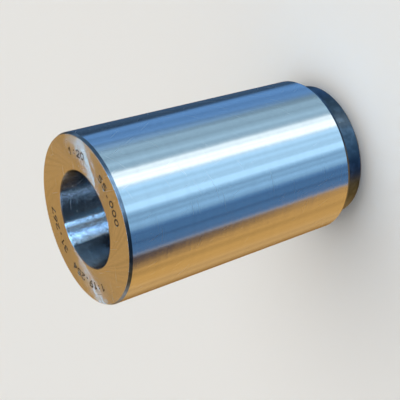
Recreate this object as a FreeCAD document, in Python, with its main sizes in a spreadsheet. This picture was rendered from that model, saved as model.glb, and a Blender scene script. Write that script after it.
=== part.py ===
"""Short reducing sleeve, turned and ground from one piece of hardened steel.

It takes a tool with a number 4 self-holding shank taper and fits a larger spindle whose bore has a
metric 1:20 taper. The sleeve stands on its rear end, with its axis along +Z and its front face on top.

- The outside is a ground 1:20 taper, which is largest at the front face.
- The bore is a ground shank taper, which runs right through and narrows towards the rear.
- Behind the shoulder is a short collar of smaller diameter, which was left unground.
- A shallow lead chamfer ends the ground taper at the front face and at the shoulder.
- The collar meets the shoulder in a small root radius, and its far end is chamfered.
- The bore has a small edge break at its mouth and a chamfer at its exit.
"""

import math
import os

import FreeCAD
import Part
import Sketcher

# Driving sizes in millimetres. A taper is the length along the axis for each millimetre of diameter.
SIZES = {
    "front_diameter": 55.0,
    "outer_taper": 20.0,
    "ground_length": 84.0,
    "collar_step": 3.4,
    "collar_length": 7.5,
    "shank_diameter": 31.267,
    "shank_taper": 19.254,
    "lead_length": 1.0,
    "lead_depth": 0.5,
    "mouth_break": 0.25,
    "exit_chamfer": 0.8,
    "collar_end_chamfer": 0.5,
    "collar_root_radius": 0.6,
}

# Sizes that follow from the driving ones, as formulas over the sheet's own cells.
DERIVED = {
    "overall_length": "ground_length + collar_length",
    "front_radius": "front_diameter / 2",
    "shoulder_radius": "(front_diameter - ground_length / outer_taper) / 2",
    "collar_radius": "shoulder_radius - collar_step",
    "bore_front_radius": "shank_diameter / 2",
    "bore_rear_radius": "(shank_diameter - overall_length / shank_taper) / 2",
}

FULL_TURN = 360
# Two circles of the turned shape are the same one if radius and height agree to this many millimetres.
CIRCLE_MATCH = 0.01
# The bore's measured volume agrees with the cone's formula to this share of it.
VOLUME_MATCH = 1e-6


def make_sheet(doc):
    """Writes the driving and the derived sizes to a spreadsheet, one named cell each."""
    sheet = doc.addObject("Spreadsheet::Sheet", "sizes")
    cells = [(name, str(value)) for name, value in SIZES.items()]
    cells += [(name, "=" + formula) for name, formula in DERIVED.items()]
    for row, (name, content) in enumerate(cells, start=1):
        sheet.set(f"A{row}", name)
        sheet.set(f"B{row}", content)
        sheet.setAlias(f"B{row}", name)
        doc.recompute()
    return sheet


def origin_feature(body, role):
    """Returns the body's own origin plane or axis with this role."""
    return next(feature for feature in body.Origin.OriginFeatures if feature.Role == role)


def half_section(body, sheet, name, corners):
    """Draws a closed outline on the body's XZ plane, which is later turned about the Z axis.

    Each corner is (radius, height), both given as the name of a cell of the sheet, or as None on the
    axis and on the plane of the rear end. The first corner is the origin of the sketch.
    """
    sketch = body.newObject("Sketcher::SketchObject", name)
    sketch.AttachmentSupport = [(origin_feature(body, "XZ_Plane"), "")]
    sketch.MapMode = "FlatFace"

    values = [[getattr(sheet, cell) if cell else 0 for cell in corner] for corner in corners]
    points = [FreeCAD.Vector(radius, height, 0) for radius, height in values]
    for i, point in enumerate(points):
        sketch.addGeometry(Part.LineSegment(point, points[(i + 1) % len(points)]))

    for i, (radius, height) in enumerate(corners):
        after = (i + 1) % len(corners)
        sketch.addConstraint(Sketcher.Constraint("Coincident", i, 2, after, 1))
        if radius == corners[after][0]:
            sketch.addConstraint(Sketcher.Constraint("Vertical", i))
        if height == corners[after][1]:
            sketch.addConstraint(Sketcher.Constraint("Horizontal", i))

    # Each named radius and height is dimensioned once, at the first corner that has it.
    sketch.addConstraint(Sketcher.Constraint("Coincident", 0, 1, -1, 1))
    placed = {None}
    for i, corner in enumerate(corners):
        for kind, cell in zip(("DistanceX", "DistanceY"), corner):
            if cell in placed:
                continue
            placed.add(cell)
            index = sketch.addConstraint(Sketcher.Constraint(kind, -1, 1, i, 1, getattr(sheet, cell)))
            sketch.renameConstraint(index, cell)
            sketch.setExpression(f"Constraints.{cell}", f"{sheet.Name}.{cell}")
    return sketch


def turn(doc, body, kind, name, sketch):
    """Turns an outline a full circle about the Z axis: a Revolution adds to the body, a Groove cuts."""
    feature = body.newObject(kind, name)
    feature.Profile = sketch
    feature.ReferenceAxis = (origin_feature(body, "Z_Axis"), [""])
    feature.Angle = FULL_TURN
    doc.recompute()
    return feature


def find_circle(shape, radius, height):
    """Returns the name of the full circle with this radius and height, or None if there is none."""
    for number, edge in enumerate(shape.Edges, start=1):
        if not isinstance(edge.Curve, Part.Circle) or not edge.isClosed():
            continue
        off_radius = abs(edge.Curve.Radius - radius)
        off_height = abs(edge.Curve.Center.z - height)
        if max(off_radius, off_height) < CIRCLE_MATCH:
            return f"Edge{number}"
    return None


def treat_edge(doc, body, sheet, kind, name, circle, **cells):
    """Rounds or chamfers one circle, given as (radius, height), by sizes that are cells of the sheet."""
    base = body.Tip
    edge = find_circle(base.Shape, *circle)
    if edge is None:
        raise ValueError(f"{name}: the shape has no circle of radius and height {circle}")
    feature = body.newObject(kind, name)
    feature.Base = (base, [edge])
    for size, cell in cells.items():
        feature.setExpression(size, f"{sheet.Name}.{cell}")
    doc.recompute()
    return feature


def lead_chamfer(doc, body, sheet, name, circle):
    """Chamfers one end of the ground taper, for a length along the axis and a depth across the end face.

    The edge's two faces can come in either order, so the chamfer is turned over if its depth isn't
    found on the end face.
    """
    radius, height = circle
    chamfer = treat_edge(doc, body, sheet, "PartDesign::Chamfer", name, circle, Size="lead_length")
    chamfer.ChamferType = "Two distances"
    chamfer.setExpression("Size2", f"{sheet.Name}.lead_depth")
    doc.recompute()
    if find_circle(chamfer.Shape, radius - sheet.lead_depth, height) is None:
        chamfer.FlipDirection = not chamfer.FlipDirection
        doc.recompute()
    return chamfer


def cone_volume(length, radius_a, radius_b):
    """Returns the volume of a cone cut off at both ends."""
    return math.pi * length * (radius_a**2 + radius_a * radius_b + radius_b**2) / 3


def make_sleeve(doc, sheet):
    """Builds the sleeve in the order it is made: the turned blank, the ground bore, then the edges."""
    body = doc.addObject("PartDesign::Body", "sleeve")
    body.Label = "sleeve"

    blank_outline = half_section(
        body,
        sheet,
        "blank_outline",
        [
            (None, None),
            ("collar_radius", None),
            ("collar_radius", "collar_length"),
            ("shoulder_radius", "collar_length"),
            ("front_radius", "overall_length"),
            (None, "overall_length"),
        ],
    )
    blank = turn(doc, body, "PartDesign::Revolution", "blank", blank_outline)

    bore_outline = half_section(
        body,
        sheet,
        "bore_outline",
        [
            (None, None),
            ("bore_rear_radius", None),
            ("bore_front_radius", "overall_length"),
            (None, "overall_length"),
        ],
    )
    bore = turn(doc, body, "PartDesign::Groove", "shank_bore", bore_outline)
    removed = blank.Shape.Volume - bore.Shape.Volume
    cone = cone_volume(sheet.overall_length, sheet.bore_rear_radius, sheet.bore_front_radius)
    if abs(removed - cone) > VOLUME_MATCH * cone:
        raise RuntimeError("the bore doesn't run right through the blank")

    front = sheet.overall_length
    shoulder = sheet.collar_length
    rear = 0
    lead_chamfer(doc, body, sheet, "front_lead", (sheet.front_radius, front))
    lead_chamfer(doc, body, sheet, "shoulder_lead", (sheet.shoulder_radius, shoulder))

    collar_root = (sheet.collar_radius, shoulder)
    collar_end = (sheet.collar_radius, rear)
    bore_mouth = (sheet.bore_front_radius, front)
    bore_exit = (sheet.bore_rear_radius, rear)
    fillet = "PartDesign::Fillet"
    chamfer = "PartDesign::Chamfer"
    treat_edge(doc, body, sheet, fillet, "collar_root", collar_root, Radius="collar_root_radius")
    treat_edge(doc, body, sheet, chamfer, "collar_end", collar_end, Size="collar_end_chamfer")
    treat_edge(doc, body, sheet, chamfer, "bore_mouth", bore_mouth, Size="mouth_break")
    treat_edge(doc, body, sheet, chamfer, "bore_exit", bore_exit, Size="exit_chamfer")

    body.Placement = FreeCAD.Placement()
    doc.recompute()
    return body


def check(doc, bodies):
    """Stops with a plain message if an object failed to rebuild or a body isn't one sound solid."""
    for thing in doc.Objects:
        if {"Invalid", "Error"} & set(thing.State):
            raise RuntimeError(f"{thing.Name} failed to rebuild: {thing.State}")
    for body in bodies:
        shape = body.Shape
        if shape.isNull() or not shape.isValid() or len(shape.Solids) != 1:
            raise RuntimeError(f"{body.Label} isn't one valid solid")


def main():
    """Builds the sleeve, checks it and writes its solid."""
    doc = FreeCAD.newDocument("reducing_sleeve")
    sheet = make_sheet(doc)
    bodies = [make_sleeve(doc, sheet)]
    check(doc, bodies)
    os.makedirs("parts", exist_ok=True)
    for body in bodies:
        body.Shape.exportStep(f"parts/{body.Label}.step")
        box = body.Shape.BoundBox
        size = f"{box.XLength:.3f} x {box.YLength:.3f} x {box.ZLength:.3f} mm"
        print(f"{body.Label}: {size}, volume {body.Shape.Volume:.0f} mm3")


main()
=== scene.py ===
"""Looks of the reducing sleeve: ground steel with blackened ends, standing on a pale floor.

The sleeve stands on its collar's end, with its axis on +Z and its marked front face on top. The camera is
turned on its side, so that the sleeve lies across the picture.
"""

import logging
import math
from dataclasses import dataclass, field
from enum import Enum

import bpy
import numpy as np
from mathutils import Matrix, Vector


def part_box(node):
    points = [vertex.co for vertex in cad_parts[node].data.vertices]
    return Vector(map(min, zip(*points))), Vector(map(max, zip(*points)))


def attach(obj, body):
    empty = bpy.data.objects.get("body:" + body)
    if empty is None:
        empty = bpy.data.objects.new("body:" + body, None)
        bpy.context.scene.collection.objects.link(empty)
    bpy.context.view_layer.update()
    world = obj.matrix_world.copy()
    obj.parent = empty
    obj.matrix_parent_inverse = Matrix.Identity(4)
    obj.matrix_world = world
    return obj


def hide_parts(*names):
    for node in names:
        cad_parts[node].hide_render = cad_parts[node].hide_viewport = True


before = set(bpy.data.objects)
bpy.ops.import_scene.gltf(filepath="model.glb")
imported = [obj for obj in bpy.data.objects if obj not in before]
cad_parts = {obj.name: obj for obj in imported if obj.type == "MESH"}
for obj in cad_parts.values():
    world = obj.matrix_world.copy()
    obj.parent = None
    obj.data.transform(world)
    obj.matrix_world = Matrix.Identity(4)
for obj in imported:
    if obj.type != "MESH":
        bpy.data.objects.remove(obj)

MM = 0.001
log = logging.getLogger("sleeve")

Colour = tuple[float, float, float]


class Finish(Enum):
    """The finishes of the sleeve's surface, in the order of its material slots."""

    GROUND_TAPER = 0
    GROUND_FACE = 1
    GROUND_BORE = 2
    BLACKENED = 3
    MARK = 4


class Socket:
    """One value of a shader. Python's operators on it add Math nodes to its tree."""

    def __init__(self, sheet: "Sheet", output: bpy.types.NodeSocket) -> None:
        """Wraps an output of a node.

        Args:
            sheet: The node tree that the output belongs to.
            output: The output itself.
        """
        self.sheet = sheet
        self.output = output

    def math(self, operation: str, *values: "Socket | float", clamp: bool = False) -> "Socket":
        """Adds a Math node.

        Args:
            operation: The node's operation.
            values: Its inputs, in order.
            clamp: Whether the result is kept between 0 and 1.

        Returns:
            The node's result.
        """
        settings = {"operation": operation, "use_clamp": clamp}
        return self.sheet.socket("ShaderNodeMath", settings, dict(enumerate(values)))

    def __add__(self, other: "Socket | float") -> "Socket":
        """Returns self + other."""
        return self.math("ADD", self, other)

    def __radd__(self, other: float) -> "Socket":
        """Returns other + self."""
        return self.math("ADD", other, self)

    def __sub__(self, other: "Socket | float") -> "Socket":
        """Returns self - other."""
        return self.math("SUBTRACT", self, other)

    def __rsub__(self, other: float) -> "Socket":
        """Returns other - self."""
        return self.math("SUBTRACT", other, self)

    def __mul__(self, other: "Socket | float") -> "Socket":
        """Returns self * other."""
        return self.math("MULTIPLY", self, other)

    def __rmul__(self, other: float) -> "Socket":
        """Returns other * self."""
        return self.math("MULTIPLY", other, self)

    def __truediv__(self, other: "Socket | float") -> "Socket":
        """Returns self / other."""
        return self.math("DIVIDE", self, other)

    def __rtruediv__(self, other: float) -> "Socket":
        """Returns other / self."""
        return self.math("DIVIDE", other, self)

    def step(self, low: float, high: float) -> "Socket":
        """Rises smoothly from 0 to 1.

        Args:
            low: The value where the rise starts. It may be the larger one, and then the step falls.
            high: The value where the rise ends.

        Returns:
            The step.
        """
        rise, fall = (low, high), (0.0, 1.0)
        if low > high:
            rise, fall = (high, low), (1.0, 0.0)
        settings = {"interpolation_type": "SMOOTHSTEP"}
        inputs = {"Value": self, "From Min": rise[0], "From Max": rise[1]}
        inputs |= {"To Min": fall[0], "To Max": fall[1]}
        return self.sheet.socket("ShaderNodeMapRange", settings, inputs)


@dataclass(frozen=True)
class Specks:
    """Small round specks in scattered places.

    Attributes:
        spacing: The mean distance between two places for a speck, in millimetres.
        size: The radius of a speck, as a share of the spacing.
        share: The share of the places that have one, from 0 to 1.
        core: How far out a speck is whole, as a share of its radius.
        draw: How sharply the places with a speck are told from the others, up to 1.
    """

    spacing: float
    size: float
    share: float
    core: float = 0.6
    draw: float = 0.98


class Sheet:
    """A node tree that is being filled."""

    def __init__(self, tree: bpy.types.NodeTree) -> None:
        """Empties the tree.

        Args:
            tree: The node tree of a material or of the world.
        """
        self.tree = tree
        tree.nodes.clear()

    def node(
        self,
        kind: str,
        settings: dict[str, object] | None = None,
        inputs: dict[str | int, object] | None = None,
    ) -> bpy.types.Node:
        """Adds a node.

        Args:
            kind: The node's type.
            settings: Its own settings, which are set first.
            inputs: The values, links or wrapped sockets of its inputs, by name or number.

        Returns:
            The node.
        """
        node = self.tree.nodes.new(kind)
        for name, setting in (settings or {}).items():
            setattr(node, name, setting)
        for name, given in (inputs or {}).items():
            given = given.output if isinstance(given, Socket) else given
            if isinstance(given, bpy.types.NodeSocket):
                self.tree.links.new(given, node.inputs[name])
            else:
                node.inputs[name].default_value = given
        return node

    def socket(
        self,
        kind: str,
        settings: dict[str, object] | None = None,
        inputs: dict[str | int, object] | None = None,
        output: str | int = 0,
    ) -> Socket:
        """Adds a node and wraps one of its outputs.

        Args:
            kind: The node's type.
            settings: As for node.
            inputs: As for node.
            output: The output's name or number.

        Returns:
            The wrapped output.
        """
        return Socket(self, self.node(kind, settings, inputs).outputs[output])

    def vector(self, x: Socket | float, y: Socket | float, z: Socket | float) -> Socket:
        """Returns a vector with these three parts."""
        return self.socket("ShaderNodeCombineXYZ", None, {"X": x, "Y": y, "Z": z})

    def parts(self, place: Socket) -> list[Socket]:
        """Returns a vector's three parts."""
        node = self.node("ShaderNodeSeparateXYZ", None, {0: place})
        return [Socket(self, output) for output in node.outputs]

    def scale(self, place: Socket, sizes: Socket | tuple[float, float, float]) -> Socket:
        """Returns a vector whose parts are multiplied by these sizes, or all by one value."""
        return self.socket("ShaderNodeVectorMath", {"operation": "MULTIPLY"}, {0: place, 1: sizes})

    def plus(self, first: Socket, second: Socket | tuple[float, float, float]) -> Socket:
        """Returns the sum of two vectors."""
        return self.socket("ShaderNodeVectorMath", {"operation": "ADD"}, {0: first, 1: second})

    def noise(
        self, place: Socket, detail: float = 2.0, roughness: float = 0.5, output: str = "Fac"
    ) -> Socket:
        """Returns fractal noise about 0.5, with features about one unit of place in size.

        Args:
            place: Where the point is.
            detail: How many finer layers the noise has.
            roughness: How strong each finer layer is beside the one before it.
            output: Fac for a value, or Color for three values that differ.
        """
        inputs = {"Vector": place, "Scale": 1.0, "Detail": detail, "Roughness": roughness}
        return self.socket("ShaderNodeTexNoise", None, inputs, output)

    def specks(self, place: Socket, specks: Specks) -> Socket:
        """Returns 1 in small round specks, and 0 elsewhere.

        Args:
            place: Where the point is, in metres.
            specks: The specks' size and spacing.
        """
        spread = {"Vector": place, "Scale": 1 / (specks.spacing * MM)}
        cells = self.node("ShaderNodeTexVoronoi", None, spread)
        away = Socket(self, cells.outputs["Distance"])
        chance = self.parts(Socket(self, cells.outputs["Color"]))[0]
        here = away.step(specks.size, specks.core * specks.size)
        return here * chance.step(specks.share, specks.draw * specks.share)

    def mix(self, share: Socket | float, first: object, second: object) -> Socket:
        """Mixes two colours.

        Args:
            share: The share of the second colour.
            first: A colour with alpha, or a wrapped socket.
            second: The same.

        Returns:
            The mixed colour.
        """
        return self.socket("ShaderNodeMix", {"data_type": "RGBA"}, {0: share, 6: first, 7: second}, 2)


@dataclass
class Corner:
    """A corner of the sleeve's half section.

    Attributes:
        radius: Its distance from the axis, in millimetres.
        height: Its height above the collar's end, in millimetres.
        rounding: The radius of its edge, in millimetres.
        finish: The finish of its edge and of the wall after it.
    """

    radius: float
    height: float
    rounding: float
    finish: Finish


@dataclass
class Ring:
    """A ring of vertices round the axis.

    Attributes:
        radius: Its radius, in millimetres.
        height: Its height, in millimetres.
        normal: The outward normal, as its radial and its upward part.
        finish: The finish of the band from this ring to the next.
        fine: Whether it has the engraving's many vertices.
    """

    radius: float
    height: float
    normal: tuple[float, float]
    finish: Finish
    fine: bool = False


@dataclass
class Sleeve:
    """The sleeve itself. Lengths are in millimetres, with heights above the collar's end.

    Attributes:
        front_radius: The ground taper's radius in the plane of the front face.
        outer_taper: The length along which its diameter changes by one millimetre.
        collar_radius: The collar's radius.
        collar_length: The height of the shoulder.
        bore_front_radius: The bore's radius in the plane of the front face.
        bore_taper: The length along which its diameter changes by one millimetre.
        lead_length: The length of the lead chamfers at both ends of the ground taper.
        lead_depth: How far they go in from the taper's radius.
        mouth_break: The chamfer at the bore's mouth.
        exit_chamfer: The chamfer at the bore's rear end.
        collar_end_chamfer: The chamfer at the collar's end.
        root_radius: The radius in the corner between the collar and the shoulder.
        edge_radius: The radius of the sharp edges.
        columns: How many vertices a ring has.
        fine_columns_each: How many times as many the rings under the marks have.
        arc_steps: How many bands round an edge.
        wall_step: The greatest height of a wall's bands.
        length: The overall length.
    """

    front_radius: float = 27.5
    outer_taper: float = 20.0
    collar_radius: float = 22.0
    collar_length: float = 7.5
    bore_front_radius: float = 15.6335
    bore_taper: float = 19.254
    lead_length: float = 1.0
    lead_depth: float = 0.5
    mouth_break: float = 0.25
    exit_chamfer: float = 0.8
    collar_end_chamfer: float = 0.5
    root_radius: float = 0.6
    edge_radius: float = 0.06
    columns: int = 360
    fine_columns_each: int = 4
    arc_steps: int = 4
    wall_step: float = 6.0
    length: float = field(init=False)

    def __post_init__(self) -> None:
        """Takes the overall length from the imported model."""
        low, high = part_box("sleeve")
        self.length = (high.z - low.z) / MM

    def outer_radius(self, height: float) -> float:
        """Returns the radius of the ground taper at a height."""
        return self.front_radius - (self.length - height) / self.outer_taper / 2

    def bore_radius(self, height: float) -> float:
        """Returns the radius of the bore at a height."""
        return self.bore_front_radius - (self.length - height) / self.bore_taper / 2

    def corners(self) -> list[Corner]:
        """Returns the half section's corners, outwards along the rear end and then up the outside."""
        edge, top = self.edge_radius, self.length
        shoulder, collar_end = self.collar_length, self.collar_end_chamfer
        lead_low, lead_high = shoulder + self.lead_length, top - self.lead_length
        mouth_low = top - self.mouth_break
        exit_high = self.exit_chamfer
        exit_radius = self.bore_radius(0.0) + self.exit_chamfer
        black, taper = Finish.BLACKENED, Finish.GROUND_TAPER
        return [
            Corner(exit_radius, 0.0, edge, black),
            Corner(self.collar_radius - collar_end, 0.0, edge, black),
            Corner(self.collar_radius, collar_end, edge, black),
            Corner(self.collar_radius, shoulder, self.root_radius, black),
            Corner(self.outer_radius(shoulder) - self.lead_depth, shoulder, edge, black),
            Corner(self.outer_radius(lead_low), lead_low, edge, taper),
            Corner(self.outer_radius(lead_high), lead_high, edge, black),
            Corner(self.front_radius - self.lead_depth, top, edge, Finish.GROUND_FACE),
            Corner(self.bore_front_radius + self.mouth_break, top, edge, Finish.GROUND_BORE),
            Corner(self.bore_radius(mouth_low), mouth_low, edge, Finish.GROUND_BORE),
            Corner(self.bore_radius(exit_high), exit_high, edge, black),
        ]

    def edge_rings(self, before: Corner, corner: Corner, after: Corner) -> list[Ring]:
        """Returns the rings that round one corner.

        Args:
            before: The corner before it.
            corner: The corner to round.
            after: The corner after it.

        Returns:
            The rings, from the end of the wall before it to the start of the wall after it.
        """
        place = np.array([corner.radius, corner.height])
        normals = []
        for start, end in ((before, corner), (corner, after)):
            along = np.array([end.radius - start.radius, end.height - start.height])
            along /= np.linalg.norm(along)
            normals.append(np.array([along[1], -along[0]]))
        turn = normals[0][0] * normals[1][1] - normals[0][1] * normals[1][0]
        side = 1.0 if turn > 0 else -1.0
        bisector = (normals[0] + normals[1]) / (1 + normals[0] @ normals[1])
        centre = place - side * corner.rounding * bisector
        first, last = (math.atan2(normal[1], normal[0]) for normal in normals)
        sweep = (last - first + math.pi) % math.tau - math.pi
        rings = []
        for step in range(self.arc_steps + 1):
            angle = first + sweep * step / self.arc_steps
            normal = np.array([math.cos(angle), math.sin(angle)])
            radius, height = centre + side * corner.rounding * normal
            rings.append(Ring(radius, height, tuple(normal), corner.finish))
        return rings

    def rings(self, marks: "Marks") -> list[Ring]:
        """Returns all the rings of the closed section, with fine ones under the marks.

        Args:
            marks: The marks on the front face.
        """
        corners = self.corners()
        rings: list[Ring] = []
        for index, corner in enumerate(corners):
            after = corners[(index + 1) % len(corners)]
            edge = self.edge_rings(corners[index - 1], corner, after)
            rings += edge
            start = edge[-1]
            if corner.finish is Finish.GROUND_FACE:
                rings += self.face_rings(start, marks)
                continue
            end = self.edge_rings(corner, after, corners[(index + 2) % len(corners)])[0]
            length = math.hypot(end.radius - start.radius, end.height - start.height)
            pieces = max(1, round(length / self.wall_step))
            for piece in range(1, pieces):
                share = piece / pieces
                radius = start.radius + (end.radius - start.radius) * share
                height = start.height + (end.height - start.height) * share
                rings.append(Ring(radius, height, start.normal, corner.finish))
        return rings

    def face_rings(self, start: Ring, marks: "Marks") -> list[Ring]:
        """Returns the rings across the front face, inwards.

        Args:
            start: The ring where the face's outer edge ends.
            marks: The marks, which need fine rings under them.
        """
        outer, inner = marks.band()
        count = round((outer - inner) / marks.mesh_step)
        fine = [outer + (inner - outer) * step / count for step in range(count + 1)]
        coarse_outer = [(start.radius + outer) / 2]
        coarse_inner = [inner - (inner - self.bore_front_radius) * share for share in (1 / 3, 2 / 3)]
        face = Finish.GROUND_FACE
        rings = [Ring(radius, start.height, start.normal, face) for radius in coarse_outer]
        rings += [Ring(radius, start.height, start.normal, face, True) for radius in fine]
        rings += [Ring(radius, start.height, start.normal, face) for radius in coarse_inner]
        return rings

    def mesh(self, marks: "Marks") -> bpy.types.Mesh:
        """Builds the sleeve's closed mesh, with the marks cut into its face.

        Args:
            marks: The marks to cut.

        Returns:
            The mesh, in metres, with exact normals and one material number for each finish.
        """
        rings = self.rings(marks)
        counts = [self.columns * (self.fine_columns_each if ring.fine else 1) for ring in rings]
        starts = np.concatenate([[0], np.cumsum(counts)])
        places, normals = [], []
        for ring, count in zip(rings, counts):
            turn = np.arange(count) * math.tau / count
            round_x, round_y = np.cos(turn), np.sin(turn)
            height = np.full(count, ring.height)
            places.append(np.stack([ring.radius * round_x, ring.radius * round_y, height], 1))
            out, up = ring.normal
            normals.append(np.stack([out * round_x, out * round_y, np.full(count, up)], 1))
        place, normal = np.concatenate(places), np.concatenate(normals)
        engraved = np.repeat([ring.fine for ring in rings], counts)
        reach = marks.reach(place[engraved, :2])
        place[engraved, 2] -= marks.depth_at(reach)

        faces, finishes = [], []
        for index, ring in enumerate(rings):
            after = (index + 1) % len(rings)
            low, high = int(starts[index]), int(starts[after])
            band = self.band_faces((low, counts[index]), (high, counts[after]))
            faces += band
            finishes += [ring.finish.value] * len(band)

        mesh = bpy.data.meshes.new("sleeve_ground")
        mesh.from_pydata((place * MM).tolist(), [], faces)
        mesh.polygons.foreach_set("material_index", finishes)
        mesh.polygons.foreach_set("use_smooth", [True] * len(faces))
        mesh.update()
        self.colour_marks(mesh, marks)
        measured = np.zeros(len(place) * 3)
        mesh.vertex_normals.foreach_get("vector", measured)
        normal[engraved] = measured.reshape(-1, 3)[engraved]
        mesh.normals_split_custom_set_from_vertices(normal.tolist())
        return mesh

    def band_faces(self, first: tuple[int, int], second: tuple[int, int]) -> list[list[int]]:
        """Joins two rings by faces whose normals point outwards.

        Args:
            first: The number of the first ring's first vertex, and its count of vertices.
            second: The same for the second ring. One count may be a multiple of the other.

        Returns:
            The faces, as lists of vertex numbers.
        """
        (low, low_count), (high, high_count) = first, second
        cells = min(low_count, high_count)
        low_each, high_each = low_count // cells, high_count // cells
        faces = []
        for cell in range(cells):
            along = [low + (cell * low_each + step) % low_count for step in range(low_each + 1)]
            back = [high + (cell * high_each + step) % high_count for step in range(high_each + 1)]
            faces.append(along + back[::-1])
        return faces

    def colour_marks(self, mesh: bpy.types.Mesh, marks: "Marks") -> None:
        """Gives the bottoms of the marks their own finish.

        Args:
            mesh: The sleeve's mesh.
            marks: The marks on its face.
        """
        centres = np.zeros(len(mesh.polygons) * 3)
        mesh.polygons.foreach_get("center", centres)
        centres = centres.reshape(-1, 3) / MM
        index = np.zeros(len(mesh.polygons), int)
        mesh.polygons.foreach_get("material_index", index)
        on_face = np.flatnonzero(index == Finish.GROUND_FACE.value)
        inked = marks.reach(centres[on_face, :2]) < marks.stroke / 2 + marks.mesh_step
        index[on_face[inked]] = Finish.MARK.value
        mesh.polygons.foreach_set("material_index", index.tolist())


# The greatest turn from one point of a figure's curve to the next, in degrees.
ARC_STEP = 30


def arc(centre: tuple[float, float], radii: tuple[float, float], start: float, end: float) -> list[tuple]:
    """Returns points along part of an ellipse.

    Args:
        centre: Its centre.
        radii: Its half width and half height.
        start: The angle of the first point, in degrees.
        end: The angle of the last point.
    """
    steps = max(2, round(abs(end - start) / ARC_STEP))
    angles = [math.radians(start + (end - start) * step / steps) for step in range(steps + 1)]
    return [(centre[0] + radii[0] * math.cos(a), centre[1] + radii[1] * math.sin(a)) for a in angles]


# Each figure is one stroke or more, in a cell 0.6 wide and 1 high.
GLYPHS: dict[str, list[list[tuple]]] = {
    "0": [arc((0.3, 0.5), (0.3, 0.5), 0, 360)],
    "1": [[(0.1, 0.78), (0.34, 1.0), (0.34, 0.0)]],
    "2": [arc((0.3, 0.7), (0.29, 0.3), 165, -35) + [(0.0, 0.0), (0.6, 0.0)]],
    "3": [arc((0.28, 0.75), (0.26, 0.25), 150, -90) + arc((0.28, 0.26), (0.31, 0.26), 80, -150)],
    "4": [[(0.46, 0.0), (0.46, 1.0), (0.0, 0.3), (0.62, 0.3)]],
    "5": [[(0.55, 1.0), (0.1, 1.0), (0.06, 0.56)] + arc((0.28, 0.32), (0.32, 0.32), 125, -145)],
    "6": [arc((0.3, 0.3), (0.3, 0.3), 150, -210), [(0.04, 0.45), (0.2, 0.8), (0.46, 1.0)]],
    "7": [[(0.0, 1.0), (0.6, 1.0), (0.22, 0.0)]],
    "9": [arc((0.3, 0.7), (0.3, 0.3), -30, 330), [(0.56, 0.55), (0.4, 0.2), (0.14, 0.0)]],
    ":": [[(0.3, 0.24), (0.3, 0.28)], [(0.3, 0.68), (0.3, 0.72)]],
    ".": [[(0.24, 0.02), (0.36, 0.02), (0.36, 0.1), (0.24, 0.1)]],
    " ": [],
}


@dataclass
class Line:
    """One line of figures round the face.

    Attributes:
        text: The figures.
        start: The azimuth where they start, in degrees. They run clockwise from it.
        pitch: The angle from one figure to the next, in degrees.
    """

    text: str
    start: float
    pitch: float


@dataclass
class Marks:
    """The sizes cut into the front face: plain numbers, in thin single strokes.

    Lengths are in millimetres.

    Attributes:
        lines: The lines of figures.
        baseline: The radius on which the figures stand.
        figure_height: A figure's height.
        figure_width: The width of a cell that is one unit wide.
        stroke: The width of a stroke.
        depth: Its depth.
        mesh_step: The distance between the rings under the marks.
        margin: How far the fine rings go on past the figures.
    """

    lines: tuple[Line, ...] = (
        Line("1:20", -9.5, 6.9),
        Line("55.000", -60.0, 7.4),
        Line("1:19.254", -181.5, 6.9),
        Line("31.267", -248.0, 6.9),
    )
    baseline: float = 20.7
    figure_height: float = 2.1
    figure_width: float = 3.1
    stroke: float = 0.32
    depth: float = 0.09
    mesh_step: float = 0.1
    margin: float = 0.4

    def band(self) -> tuple[float, float]:
        """Returns the outer and the inner radius of the face's fine mesh."""
        return self.baseline + self.figure_height + self.margin, self.baseline - self.margin

    def segments(self) -> np.ndarray:
        """Returns the two ends of every straight piece of every stroke, on the face."""
        found = []
        for line in self.lines:
            for number, figure in enumerate(line.text):
                for stroke in GLYPHS[figure]:
                    points = [self.on_face(line.start - number * line.pitch, x, y) for x, y in stroke]
                    found += list(zip(points, points[1:]))
        return np.array(found)

    def on_face(self, azimuth: float, across: float, up: float) -> tuple[float, float]:
        """Places a point of a figure on the face.

        Args:
            azimuth: Where the figure starts, in degrees.
            across: How far along the figure the point is, in widths of its cell.
            up: How far up the figure it is, in heights.

        Returns:
            Its X and Y.
        """
        radius = self.baseline + up * self.figure_height
        middle = self.baseline + self.figure_height / 2
        angle = math.radians(azimuth) - across * self.figure_width / middle
        return radius * math.cos(angle), radius * math.sin(angle)

    def reach(self, points: np.ndarray) -> np.ndarray:
        """Returns each point's distance from the nearest stroke.

        Args:
            points: Points on the face, one a row.
        """
        nearest = np.full(len(points), np.inf)
        for start, end in self.segments():
            along = end - start
            share = np.clip((points - start) @ along / (along @ along), 0.0, 1.0)
            gap = np.linalg.norm(points - start - share[:, None] * along, axis=1)
            nearest = np.minimum(nearest, gap)
        return nearest

    def depth_at(self, reach: np.ndarray) -> np.ndarray:
        """Returns the cut's depth at these distances from the nearest stroke."""
        share = np.clip(1 - reach / (self.stroke / 2 + self.mesh_step), 0.0, 1.0)
        return self.depth * np.sqrt(share)


# The noise's usual distance from its mean.
LINE_SPREAD = 0.06

# The values of the strokes' noise between which a stroke fades out.
STROKE_LEVELS = (0.35, 0.6)

# The values of the scratches' noise between which a scratch starts, and the turns of the sets of scratches
# with how fine each set is along X, Y and Z.
SCRATCH_LEVELS = (0.823, 0.838)
SCRATCH_TURNS = (
    ((0.9, 0.4, 0.2), (90.0, 4200.0, 90.0)),
    ((-0.7, 0.3, 1.4), (120.0, 5200.0, 120.0)),
)


class Lay(Enum):
    """The way that a ground surface's fine lines run."""

    ROUND = "round the axis"
    WHEEL = "across the face, each one an arc of the big wheel that ground it"


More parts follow.
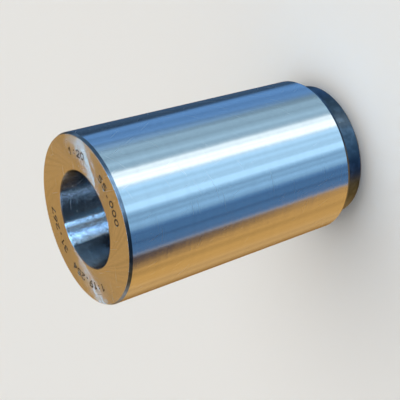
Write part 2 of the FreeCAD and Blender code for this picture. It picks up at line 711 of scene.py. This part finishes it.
@dataclass(frozen=True)
class GroundSteel:
    """Hardened steel with a ground lay, whose fine lines lie in one direction.

    Attributes:
        name: The material's name.
        lay: The way the lines run.
        roughness: The steel's mean roughness.
        stretch: How much finer lines, too fine to model, stretch the highlight across them, from 0 to 1.
        line_width: The width of a modelled line, in millimetres.
        line_length: The length over which a line changes, in millimetres.
        line_slope: How steep the lines' sides are, as a mean slope.
        waviness: The slope of the unevenness in any direction.
        wear: How much the roughness varies from place to place.
        strokes: How much darker some broad strokes of the lay are.
        colour: The steel's colour. The bore's is darker and bluer than the taper's: painted shade and
            painted blue reflection on the same ground steel.
        wheel_radius: The radius of the wheel that ground the face, in millimetres.
        wheel_distance: How far its centre was from the sleeve's axis, in millimetres.
        spacing_radius: The radius of the circle on the face round which the line width is measured, in
            millimetres.
        stroke_share: A line's width as a share of a stroke's.
        pass_sizes: How fine the patches of wear are along X, Y and Z, in patches a metre.
        line_wear: How much rougher the lines' ridges are.
        scratch_wear: How much rougher a scratch is.
        nick_wear: How much rougher a nick is.
        nicks: The nicks.
        nick_depth: Their depth, in millimetres.
        scratch_depth: A scratch's depth, as a share of a nick's.
        grain_turn: The turn of the stretched highlight, as a share of a full one.
    """

    name: str
    lay: Lay
    roughness: float
    stretch: float
    line_width: float
    line_length: float
    line_slope: float
    waviness: float
    wear: float = 0.06
    strokes: float = 0.02
    colour: Colour = (0.60, 0.61, 0.63)
    wheel_radius: float = 129.0
    wheel_distance: float = 113.7
    spacing_radius: float = 15.0
    stroke_share: float = 0.03
    pass_sizes: tuple[float, float, float] = (60.0, 60.0, 400.0)
    line_wear: float = 0.08
    scratch_wear: float = 0.15
    nick_wear: float = 0.3
    nicks: Specks = Specks(1.6, 0.09, 0.10)
    nick_depth: float = 0.004
    scratch_depth: float = 0.1
    grain_turn: float = 0.25

    def lay_lines(self, sheet: Sheet, place: Socket) -> tuple[Socket, Socket]:
        """Lays the lines over the surface.

        Args:
            sheet: The material's node tree.
            place: Where the point is, in metres.

        Returns:
            The point's place in the lines' own widths and lengths, and the direction across the lines.
        """
        long, wide = 1 / (self.line_length * MM), 1 / (self.line_width * MM)
        if self.lay is Lay.ROUND:
            return sheet.scale(place, (long, long, wide)), sheet.vector(0.0, 0.0, 1.0)
        x, y, _ = sheet.parts(place)
        radius = x.math("SQRT", x * x + y * y)
        wheel, away = self.wheel_radius * MM, self.wheel_distance * MM
        bend = (radius - (wheel * wheel - away * away) / radius) / (2 * away)
        turned = x.math("ARCTAN2", y, x) + bend.math("ARCCOSINE", bend)
        centre_x, centre_y = x.math("COSINE", turned), x.math("SINE", turned)
        spread = self.spacing_radius * MM * wide
        lines = sheet.vector(centre_x * spread, centre_y * spread, radius * long)
        across = sheet.vector((x - centre_x * away) / wheel, (y - centre_y * away) / wheel, 0.0)
        return lines, across

    def scratches(self, sheet: Sheet, place: Socket) -> Socket:
        """Returns 1 on a few faint scratches across the lay, and 0 elsewhere."""
        found = None
        for turn, size in SCRATCH_TURNS:
            settings = {"rotation_type": "EULER_XYZ"}
            turned = sheet.socket("ShaderNodeVectorRotate", settings, {0: place, "Rotation": turn})
            lines = sheet.noise(sheet.scale(turned, size), detail=0.0)
            here = lines.step(*SCRATCH_LEVELS)
            found = here if found is None else here + found
        return found.math("MINIMUM", found, 1.0)

    def material(self) -> bpy.types.Material:
        """Builds the material."""
        material = bpy.data.materials.new(self.name)
        material.use_nodes = True
        sheet = Sheet(material.node_tree)
        place = sheet.socket("ShaderNodeTexCoord", output="Object")
        lay, across = self.lay_lines(sheet, place)
        lines = sheet.noise(lay, detail=3.0, roughness=0.65)
        passes = sheet.noise(sheet.scale(place, self.pass_sizes), detail=2.0)
        scratches = self.scratches(sheet, place)
        nicks = sheet.specks(place, self.nicks)
        tilt = sheet.scale(across, (lines - 0.5) * (self.line_slope / LINE_SPREAD))
        waves = sheet.plus(sheet.noise(lay, detail=2.0, output="Color"), (-0.5, -0.5, -0.5))
        tilt = sheet.plus(tilt, sheet.scale(waves, (self.waviness / LINE_SPREAD,) * 3))
        tilted = sheet.plus(sheet.socket("ShaderNodeNewGeometry", output="Normal"), tilt)
        height = 0.0 - self.scratch_depth * scratches - nicks
        dents = {"Strength": 1.0, "Distance": self.nick_depth * MM, "Height": height, "Normal": tilted}
        bump = sheet.node("ShaderNodeBump", None, dents)
        roughness = self.roughness + self.line_wear * (lines - 0.5) + self.wear * (passes - 0.5)
        roughness = roughness + self.scratch_wear * scratches + self.nick_wear * nicks
        strokes = sheet.noise(sheet.scale(lay, (self.stroke_share,) * 3), detail=3.0)
        worn = (*((1 - self.strokes) * part for part in self.colour), 1.0)
        colour = sheet.mix(strokes.step(*STROKE_LEVELS), worn, (*self.colour, 1.0))
        steel = sheet.node(
            "ShaderNodeBsdfPrincipled",
            None,
            {
                "Base Color": colour,
                "Metallic": 1.0,
                "Roughness": roughness,
                "Anisotropic": self.stretch,
                "Anisotropic Rotation": self.grain_turn,
                "Normal": bump.outputs["Normal"],
            },
        )
        sheet.node("ShaderNodeOutputMaterial", None, {"Surface": steel.outputs["BSDF"]})
        return material


@dataclass(frozen=True)
class Blackened:
    """Steel under a thin blue-black oxide skin, over fine turned lines.

    Attributes:
        name: The material's name.
        colour: The skin's colour.
        roughness: Its roughness.
        line_sizes: How fine the turned lines are along X, Y and Z, in lines a metre.
        line_depth: Their depth, in millimetres.
        cloud_size: How fine the skin's clouds are, in clouds a metre.
        cloud_levels: The values of the clouds' noise between which the skin thins.
        cloud_wear: How much rougher a cloud is.
        thinned: How much lighter the thin skin is.
        bare: The specks where the skin is gone.
        bare_colour: The steel's colour there.
    """

    name: str
    colour: Colour
    roughness: float
    line_sizes: tuple[float, float, float] = (120.0, 120.0, 6000.0)
    line_depth: float = 0.002
    cloud_size: float = 350.0
    cloud_levels: tuple[float, float] = (0.4, 0.7)
    cloud_wear: float = 0.12
    thinned: float = 1.7
    bare: Specks = Specks(1.3, 0.1, 0.12)
    bare_colour: Colour = (0.5, 0.5, 0.5)

    def material(self) -> bpy.types.Material:
        """Builds the material."""
        material = bpy.data.materials.new(self.name)
        material.use_nodes = True
        sheet = Sheet(material.node_tree)
        place = sheet.socket("ShaderNodeTexCoord", output="Object")
        lines = sheet.noise(sheet.scale(place, self.line_sizes), detail=3.0, roughness=0.6)
        clouds = sheet.noise(sheet.scale(place, (self.cloud_size,) * 3), detail=3.0)
        thin = (*(self.thinned * part for part in self.colour), 1.0)
        colour = sheet.mix(clouds.step(*self.cloud_levels), (*self.colour, 1.0), thin)
        colour = sheet.mix(sheet.specks(place, self.bare), colour, (*self.bare_colour, 1.0))
        dents = {"Strength": 1.0, "Distance": self.line_depth * MM, "Height": lines}
        bump = sheet.node("ShaderNodeBump", None, dents)
        steel = sheet.node(
            "ShaderNodeBsdfPrincipled",
            None,
            {
                "Base Color": colour,
                "Metallic": 1.0,
                "Roughness": self.roughness + self.cloud_wear * (clouds - 0.5),
                "Normal": bump.outputs["Normal"],
            },
        )
        sheet.node("ShaderNodeOutputMaterial", None, {"Surface": steel.outputs["BSDF"]})
        return material


@dataclass(frozen=True)
class Panel:
    """A tinted panel of light in the studio, far from the sleeve.

    Attributes:
        name: What it stands for.
        start: The azimuth of its one side, in degrees.
        end: The azimuth of its other side, which is larger.
        bottom: The height of its lower side, as the sine of its elevation.
        top: The height of its upper side.
        colour: Its light.
        soft: The width of its soft sides, in degrees.
        soft_height: The height of its soft lower and upper sides.
        lean: How far it leans about its middle height, in degrees of azimuth over a height of one.
    """

    name: str
    start: float
    end: float
    bottom: float
    top: float
    colour: Colour
    soft: float = 2.0
    soft_height: float = 0.1
    lean: float = 0.0

    def over(self, sheet: Sheet, azimuth: Socket, height: Socket, light: object) -> Socket:
        """Lays the panel over the light behind it.

        Args:
            sheet: The world's node tree.
            azimuth: The direction's azimuth, in degrees.
            height: The sine of its elevation.
            light: The light behind the panel.

        Returns:
            The light with the panel in front.
        """
        middle, half = (self.start + self.end) / 2, (self.end - self.start) / 2
        turn = azimuth - middle
        if self.lean:
            turn = turn - self.lean * (height - (self.bottom + self.top) / 2)
        away = turn.math("ABSOLUTE", turn.math("WRAP", turn, 180.0, -180.0))
        across = away.step(half + self.soft / 2, half - self.soft / 2)
        rise = self.soft_height / 2
        up = height.step(self.bottom - rise, self.bottom + rise)
        up = up * height.step(self.top + rise, self.top - rise)
        return sheet.mix(across * up, light, (*self.colour, 1.0))


@dataclass(frozen=True)
class FloorLamp:
    """A soft lamp far above the floor.

    Attributes:
        name: Its name.
        azimuth: The azimuth it stands at, in degrees.
        elevation: Its elevation, in degrees.
        width: How wide it looks from the floor, in degrees, which softens its shadow.
        strength: Its light on a floor that faces it, in watts a square metre.
    """

    name: str
    azimuth: float
    elevation: float
    width: float
    strength: float


# The light of the warm cards, and of the warm wall and ceiling.
WARM = (1.0, 0.565, 0.165)
DIM_WARM = (0.75, 0.43, 0.135)


@dataclass
class Studio:
    """The floor, the light and the camera. Places are in metres.

    Attributes:
        shade: The dome's light where there is no panel.
        streaks: How dark the dome's upright streaks are.
        streak_count: The streaks' fineness: how many features of noise the dome's radius has.
        streak_start: The value of the noise where a streak starts.
        backdrop: The light that the camera sees behind the floor.
        strength: The dome's strength.
        panels: The dome's panels, each one in front of those before it.
        floor_half: Half the floor's width.
        floor_colours: The two colours of its grain.
        floor_roughness: Its roughness.
        lamps: The lamps that light it.
        camera_place: Where the camera is.
        camera_azimuth: The azimuth it looks towards, in degrees.
        camera_dip: How far it looks down, in degrees.
        camera_roll: How far it is turned about its own axis, in degrees.
        lens: Its focal length, in millimetres.
        clip_start: The distance from which it sees.
    """

    shade: Colour = (0.035, 0.06, 0.095)
    streaks: float = 2.2
    streak_count: float = 12.6
    streak_start: float = 0.4
    backdrop: Colour = (0.70, 0.69, 0.67)
    strength: float = 1.1
    panels: tuple[Panel, ...] = (
        Panel("far wall", 38.0, 84.0, -1.0, -0.2, (0.055, 0.11, 0.20), 6.0, 0.2),
        Panel("blue curtain", 2.0, 48.5, -1.0, -0.2, (0.19, 0.44, 0.88), 9.0, 0.1, -80.0),
        Panel("grey curtain", -44.0, -1.0, -1.0, -0.2, (0.55, 0.86, 1.08), 30.0, 0.1),
        Panel("pale wall", -40.0, 42.0, -0.2, 0.40, (0.8, 1.22, 1.6), 24.0, 0.1),
        Panel("deep curtain", -157.0, -96.0, -1.0, 0.1, (0.12, 0.295, 0.58), 2.0, 0.3, 20.0),
        Panel("deep curtain's head", -150.0, -97.0, 0.32, 0.5, (0.2, 0.34, 0.46), 8.0, 0.08),
        Panel("dim window", -122.0, -97.0, -1.0, 0.1, (0.41, 0.77, 1.15), 3.0, 0.3),
        Panel("window", -98.0, -63.0, -1.0, 0.3, (0.75, 1.24, 1.66), 2.0, 0.3),
        Panel("lamp", -63.5, -43.0, -1.0, 0.1, (2.0, 2.3, 2.4), 4.0, 0.3),
        Panel("bar in the window", -79.0, -67.5, -0.34, 0.33, (0.3, 0.95, 1.6), 3.0, 0.1),
        Panel("dark bench", -161.0, -95.5, -0.34, 0.3, (0.01, 0.02, 0.03), 3.0, 0.1),
        Panel("dark gap", 180.0, 204.0, -1.0, -0.35, (0.05, 0.05, 0.08), 2.0, 0.1),
        Panel("warm card's low foot", 112.0, 203.0, -1.1, -0.58, WARM, 1.0, 0.04),
        Panel("warm card's foot", 106.0, 183.9, -0.58, -0.3, WARM, 1.0, 0.04, -106.0),
        Panel("warm card", 104.0, 188.0, -0.32, 0.32, WARM, 6.0, 0.06),
        Panel("warm card's pale foot", 112.0, 150.0, -1.0, -0.35, (0.9, 0.545, 0.205), 14.0, 0.1),
        Panel("dim warm card", 84.0, 121.0, -1.1, -0.35, (0.40, 0.21, 0.06), 20.0, 0.1),
        Panel("curtain's fold", -130.5, -127.8, -1.0, -0.3, (0.08, 0.19, 0.4), 1.0, 0.1, 12.0),
        Panel("curtain's deep fold", -142.0, -139.0, -1.0, -0.3, (0.07, 0.16, 0.33), 1.0, 0.1, 12.0),
        Panel("window's bright edge", -156.4, -153.9, -1.0, 0.1, (0.36, 0.42, 0.52), 1.0, 0.3, 12.0),
        Panel("haze between the lamps", -96.0, -44.0, 0.34, 0.6, (2.4, 3.0, 3.2), 8.0, 0.1),
        Panel("lamp's haze", -65.0, -42.0, 0.34, 0.6, (6.6, 7.2, 7.0), 4.0, 0.1),
        Panel("window's haze", -94.0, -82.0, 0.34, 0.6, (4.2, 4.7, 4.9), 4.0, 0.1),
        Panel("lamp's head", -64.0, -41.0, 0.05, 0.32, (4.2, 7.2, 9.8), 3.0, 0.1),
        Panel("ceiling", 150.0, 396.0, 0.95, 2.0, (0.36, 0.42, 0.48), 20.0, 0.04),
        Panel("high lamp", -65.0, -41.0, 0.6, 0.95, (4.8, 10.5, 18.5), 3.0, 0.1),
        Panel("window's head", -93.5, -82.5, 0.05, 0.32, (3.2, 5.3, 7.2), 3.0, 0.1),
        Panel("second high lamp", -94.0, -82.0, 0.6, 0.95, (3.4, 7.6, 12.8), 3.0, 0.1),
        Panel("third high lamp", -176.0, -162.0, 0.55, 0.95, (3.7, 5.0, 6.4), 4.0, 0.1),
        Panel("fourth high lamp", 20.0, 34.0, 0.6, 0.9, (0.4, 0.8, 1.1), 4.0, 0.1),
        Panel("warm wall", 66.0, 122.0, -0.35, 0.35, DIM_WARM, 14.0, 0.12),
        Panel("warm ceiling", 44.0, 140.0, 0.3, 2.0, DIM_WARM, 14.0, 0.12),
        Panel("small white card", 128.0, 158.0, -0.10, 0.14, (2.5, 2.35, 2.2), 12.0, 0.2),
        Panel("strip lamp", 42.0, 70.0, 0.87, 0.97, (5.6, 15.5, 23.5), 10.0, 0.04),
    )
    floor_half: float = 3.0
    floor_colours: tuple[Colour, Colour] = ((0.80, 0.775, 0.73), (0.83, 0.805, 0.76))
    floor_roughness: float = 0.8
    lamps: tuple[FloorLamp, ...] = (
        FloorLamp("fill", 0.0, 90.0, 170.0, 1.9),
        FloorLamp("key", -8.0, 58.0, 70.0, 1.3),
    )
    camera_place: tuple[float, float, float] = (0.0, -0.3561, 0.2485)
    camera_azimuth: float = 90.74
    camera_dip: float = 29.05
    camera_roll: float = -107.07
    lens: float = 113.87
    clip_start: float = 0.01

    def floor(self) -> None:
        """Builds the pale floor. Steel doesn't mirror it, and light reaches the sleeve through it."""
        half = self.floor_half
        corners = [(-half, -half, 0.0), (half, -half, 0.0), (half, half, 0.0), (-half, half, 0.0)]
        mesh = bpy.data.meshes.new("floor")
        mesh.from_pydata(corners, [], [[0, 1, 2, 3]])
        floor = bpy.data.objects.new("floor", mesh)
        bpy.context.scene.collection.objects.link(floor)
        material = bpy.data.materials.new("pale_floor")
        material.use_nodes = True
        sheet = Sheet(material.node_tree)
        grain = sheet.noise(sheet.socket("ShaderNodeTexCoord", output="Object"))
        colour = sheet.mix(grain, *((*part, 1.0) for part in self.floor_colours))
        looks = {"Base Color": colour, "Roughness": self.floor_roughness}
        paint = sheet.node("ShaderNodeBsdfPrincipled", None, looks)
        sheet.node("ShaderNodeOutputMaterial", None, {"Surface": paint.outputs["BSDF"]})
        mesh.materials.append(material)
        floor.visible_glossy = False

    def dome(self) -> None:
        """Builds the light dome, whose panels the ground steel mirrors as bands."""
        world = bpy.data.worlds.new("dome")
        bpy.context.scene.world = world
        world.use_nodes = True
        world.cycles_visibility.diffuse = False
        sheet = Sheet(world.node_tree)
        x, y, height = sheet.parts(sheet.socket("ShaderNodeTexCoord", output="Generated"))
        azimuth = y.math("ARCTAN2", y, x) * (360.0 / math.tau)
        light: object = (*self.shade, 1.0)
        for panel in self.panels:
            light = panel.over(sheet, azimuth, height, light)
        level = height.math("SQRT", 1.0 - height * height)
        round_dome = sheet.vector(x / level * self.streak_count, y / level * self.streak_count, 0.0)
        uneven = sheet.noise(round_dome, detail=3.0, roughness=0.6) - self.streak_start
        light = sheet.mix(uneven.math("MAXIMUM", uneven * self.streaks, 0.0), light, (0.0, 0.0, 0.0, 1.0))
        seen = sheet.socket("ShaderNodeLightPath", output="Is Camera Ray")
        light = sheet.mix(seen, light, (*self.backdrop, 1.0))
        background = sheet.node("ShaderNodeBackground", None, {"Color": light, "Strength": self.strength})
        sheet.node("ShaderNodeOutputWorld", None, {"Surface": background.outputs[0]})

    def light_floor(self) -> None:
        """Builds the soft lamps that light the floor. Steel doesn't mirror them."""
        for lamp in self.lamps:
            light = bpy.data.lights.new(lamp.name, "SUN")
            light.angle = math.radians(lamp.width)
            light.energy = lamp.strength
            azimuth, elevation = math.radians(lamp.azimuth), math.radians(lamp.elevation)
            level = math.cos(elevation)
            towards = Vector((level * math.cos(azimuth), level * math.sin(azimuth), math.sin(elevation)))
            piece = bpy.data.objects.new(lamp.name, light)
            piece.matrix_world = towards.to_track_quat("Z", "Y").to_matrix().to_4x4()
            piece.visible_glossy = False
            bpy.context.scene.collection.objects.link(piece)

    def camera(self) -> None:
        """Builds the camera, which is turned on its side."""
        azimuth, dip = math.radians(self.camera_azimuth), math.radians(self.camera_dip)
        forward = Vector(
            (math.cos(dip) * math.cos(azimuth), math.cos(dip) * math.sin(azimuth), -math.sin(dip))
        )
        level = forward.cross(Vector((0.0, 0.0, 1.0))).normalized()
        upright = level.cross(forward)
        roll = math.radians(self.camera_roll)
        right = math.cos(roll) * level + math.sin(roll) * upright
        up = math.cos(roll) * upright - math.sin(roll) * level
        camera = bpy.data.objects.new("camera", bpy.data.cameras.new("camera"))
        camera.data.lens = self.lens
        camera.data.clip_start = self.clip_start
        turned = Matrix((right, up, -forward)).transposed().to_4x4()
        camera.matrix_world = Matrix.Translation(self.camera_place) @ turned
        bpy.context.scene.collection.objects.link(camera)
        bpy.context.scene.camera = camera


def dress(sleeve: Sleeve, marks: Marks) -> bpy.types.Object:
    """Builds the sleeve's visible piece.

    Args:
        sleeve: The sleeve's sizes.
        marks: The marks on its face.

    Returns:
        The piece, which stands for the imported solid.
    """
    mesh = sleeve.mesh(marks)
    finishes = {
        Finish.GROUND_TAPER: GroundSteel(
            name="ground_taper",
            lay=Lay.ROUND,
            roughness=0.18,
            stretch=0.8,
            line_width=0.08,
            line_length=9.0,
            line_slope=0.003,
            waviness=0.003,
        ),
        Finish.GROUND_FACE: GroundSteel(
            name="ground_face",
            lay=Lay.WHEEL,
            roughness=0.21,
            stretch=0.0,
            line_width=0.02,
            line_length=14.0,
            line_slope=0.185,
            waviness=0.01,
            wear=0.04,
            strokes=0.09,
        ),
        Finish.GROUND_BORE: GroundSteel(
            name="ground_bore_painted_shade",
            lay=Lay.ROUND,
            roughness=0.18,
            stretch=1.0,
            line_width=0.04,
            line_length=0.8,
            line_slope=0.45,
            waviness=0.004,
            wear=0.1,
            strokes=0.1,
            # Painted shade and painted blue reflection: the bore's steel is set darker and bluer than the
            # taper's so the hollow bore looks shaded and tinted by the blue light it mirrors. It is the
            # same ground steel.
            colour=(0.34, 0.37, 0.41),
        ),
        Finish.BLACKENED: Blackened("blackened", (0.056, 0.074, 0.098), 0.3),
        Finish.MARK: Blackened("mark", (0.05, 0.035, 0.025), 0.6),
    }
    for finish in Finish:
        mesh.materials.append(finishes[finish].material())
    piece = bpy.data.objects.new("sleeve_ground", mesh)
    bpy.context.scene.collection.objects.link(piece)
    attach(piece, "root")
    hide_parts("sleeve")
    return piece


def main() -> None:
    """Builds the sleeve and its studio."""
    logging.basicConfig(level=logging.INFO, format="%(name)s: %(message)s")
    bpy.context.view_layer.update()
    piece = dress(Sleeve(), Marks())
    log.info("%s: %d faces", piece.name, len(piece.data.polygons))
    studio = Studio()
    studio.floor()
    studio.dome()
    studio.light_floor()
    studio.camera()
    bpy.context.scene.view_settings.view_transform = "Standard"


if __name__ == "__main__":
    main()
